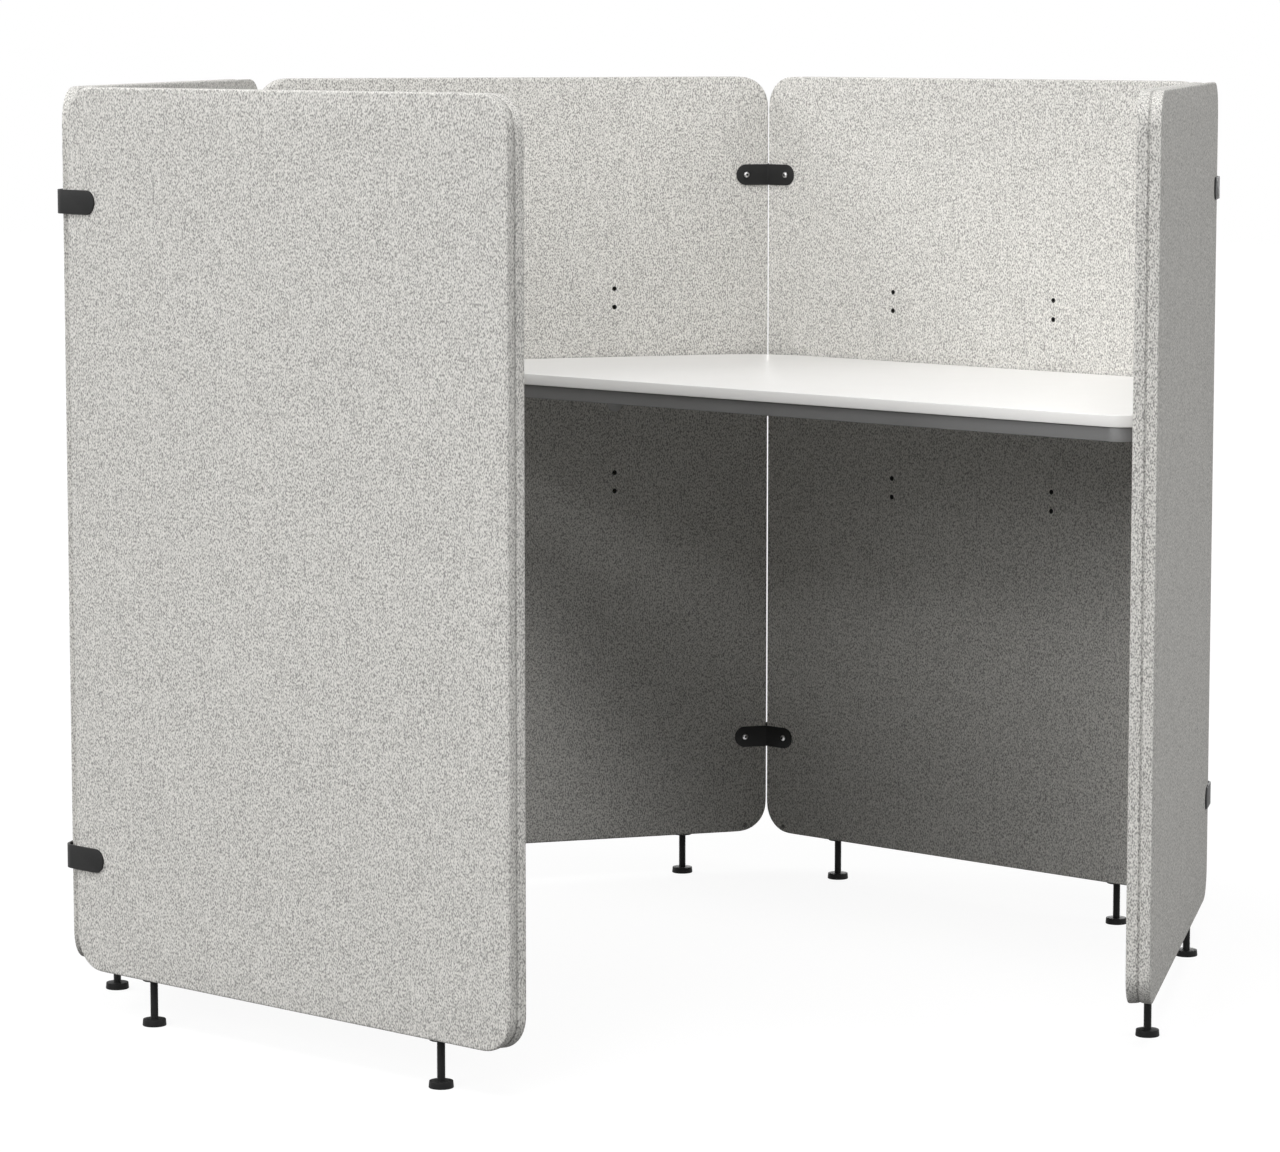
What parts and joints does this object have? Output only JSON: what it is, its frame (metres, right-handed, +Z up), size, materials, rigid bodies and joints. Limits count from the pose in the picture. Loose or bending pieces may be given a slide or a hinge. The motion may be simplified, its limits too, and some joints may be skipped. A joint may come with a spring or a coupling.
{
  "type": "acoustic work pod",
  "caption": "Free-standing hexagonal work pod of upholstered screen panels with one side open, a desk top across the rear panels, bent corner plates and levelling feet.",
  "frame": {"origin": "on the floor, in the middle of the footprint's bounding box", "axes": "+Z up; +Y towards the rear panel behind the desk top; +X along the desk to the right as seen from the seat. The open side faces between +X and -Y."},
  "size_m": [1.8826, 1.647, 1.4],
  "materials": {
    "panel_fabric": "light grey melange felt with short dark flecks, matt",
    "panel_core": "raw wood-based board, hidden inside the covers",
    "black_steel": "black fine-textured powder coat, satin",
    "screw_steel": "bright zinc-plated steel, satin",
    "foot_black": "black moulded pad on a blackened thread, matt",
    "desk_laminate": "white laminated board with a white edge band, satin",
    "rail_grey": "dark grey metallic paint, satin"
  },
  "bodies": {
    "pod": {"desk_front_rail": "rail_grey", "desk_top": "desk_laminate", "front_corner_lower_inner_plate": "black_steel", "front_corner_lower_left_screw": "screw_steel", "front_corner_lower_outer_plate": "black_steel", "front_corner_lower_right_screw": "screw_steel", "front_corner_upper_inner_plate": "black_steel", "front_corner_upper_left_screw": "screw_steel", "front_corner_upper_outer_plate": "black_steel", "front_corner_upper_right_screw": "screw_steel", "front_left_panel_core": "panel_core", "front_left_panel_cover": "panel_fabric", "front_panel_core": "panel_core", "front_panel_cover": "panel_fabric", "left_corner_lower_inner_plate": "black_steel", "left_corner_lower_left_screw": "screw_steel", "left_corner_lower_outer_plate": "black_steel", "left_corner_lower_right_screw": "screw_steel", "left_corner_upper_inner_plate": "black_steel", "left_corner_upper_left_screw": "screw_steel", "left_corner_upper_outer_plate": "black_steel", "left_corner_upper_right_screw": "screw_steel", "rear_left_corner_lower_inner_plate": "black_steel", "rear_left_corner_lower_left_screw": "screw_steel", "rear_left_corner_lower_outer_plate": "black_steel", "rear_left_corner_lower_right_screw": "screw_steel", "rear_left_corner_upper_inner_plate": "black_steel", "rear_left_corner_upper_left_screw": "screw_steel", "rear_left_corner_upper_outer_plate": "black_steel", "rear_left_corner_upper_right_screw": "screw_steel", "rear_left_panel_core": "panel_core", "rear_left_panel_cover": "panel_fabric", "rear_left_panel_left_desk_bracket": "rail_grey", "rear_left_panel_right_desk_bracket": "rail_grey", "rear_panel_core": "panel_core", "rear_panel_cover": "panel_fabric", "rear_panel_left_desk_bracket": "rail_grey", "rear_panel_right_desk_bracket": "rail_grey", "rear_right_corner_lower_inner_plate": "black_steel", "rear_right_corner_lower_left_screw": "screw_steel", "rear_right_corner_lower_outer_plate": "black_steel", "rear_right_corner_lower_right_screw": "screw_steel", "rear_right_corner_upper_inner_plate": "black_steel", "rear_right_corner_upper_left_screw": "screw_steel", "rear_right_corner_upper_outer_plate": "black_steel", "rear_right_corner_upper_right_screw": "screw_steel", "rear_right_panel_core": "panel_core", "rear_right_panel_cover": "panel_fabric", "rear_right_panel_left_desk_bracket": "rail_grey", "rear_right_panel_right_desk_bracket": "rail_grey"},
    "front_panel_left_foot": {"front_panel_left_foot": "foot_black"},
    "front_panel_right_foot": {"front_panel_right_foot": "foot_black"},
    "front_left_panel_left_foot": {"front_left_panel_left_foot": "foot_black"},
    "front_left_panel_right_foot": {"front_left_panel_right_foot": "foot_black"},
    "rear_left_panel_left_foot": {"rear_left_panel_left_foot": "foot_black"},
    "rear_left_panel_right_foot": {"rear_left_panel_right_foot": "foot_black"},
    "rear_panel_left_foot": {"rear_panel_left_foot": "foot_black"},
    "rear_panel_right_foot": {"rear_panel_right_foot": "foot_black"},
    "rear_right_panel_left_foot": {"rear_right_panel_left_foot": "foot_black"},
    "rear_right_panel_right_foot": {"rear_right_panel_right_foot": "foot_black"}
  },
  "joints": [
    {"name": "front_panel_left_foot_screw_travel", "type": "slide", "parent": "pod", "child": "front_panel_left_foot", "axis": [0, 0, 1], "range_m": [-0.01, 0.04]},
    {"name": "front_panel_right_foot_screw_travel", "type": "slide", "parent": "pod", "child": "front_panel_right_foot", "axis": [0, 0, 1], "range_m": [-0.01, 0.04]},
    {"name": "front_left_panel_left_foot_screw_travel", "type": "slide", "parent": "pod", "child": "front_left_panel_left_foot", "axis": [0, 0, 1], "range_m": [-0.01, 0.04]},
    {"name": "front_left_panel_right_foot_screw_travel", "type": "slide", "parent": "pod", "child": "front_left_panel_right_foot", "axis": [0, 0, 1], "range_m": [-0.01, 0.04]},
    {"name": "rear_left_panel_left_foot_screw_travel", "type": "slide", "parent": "pod", "child": "rear_left_panel_left_foot", "axis": [0, 0, 1], "range_m": [-0.01, 0.04]},
    {"name": "rear_left_panel_right_foot_screw_travel", "type": "slide", "parent": "pod", "child": "rear_left_panel_right_foot", "axis": [0, 0, 1], "range_m": [-0.01, 0.04]},
    {"name": "rear_panel_left_foot_screw_travel", "type": "slide", "parent": "pod", "child": "rear_panel_left_foot", "axis": [0, 0, 1], "range_m": [-0.01, 0.04]},
    {"name": "rear_panel_right_foot_screw_travel", "type": "slide", "parent": "pod", "child": "rear_panel_right_foot", "axis": [0, 0, 1], "range_m": [-0.01, 0.04]},
    {"name": "rear_right_panel_left_foot_screw_travel", "type": "slide", "parent": "pod", "child": "rear_right_panel_left_foot", "axis": [0, 0, 1], "range_m": [-0.01, 0.04]},
    {"name": "rear_right_panel_right_foot_screw_travel", "type": "slide", "parent": "pod", "child": "rear_right_panel_right_foot", "axis": [0, 0, 1], "range_m": [-0.01, 0.04]}
  ]
}
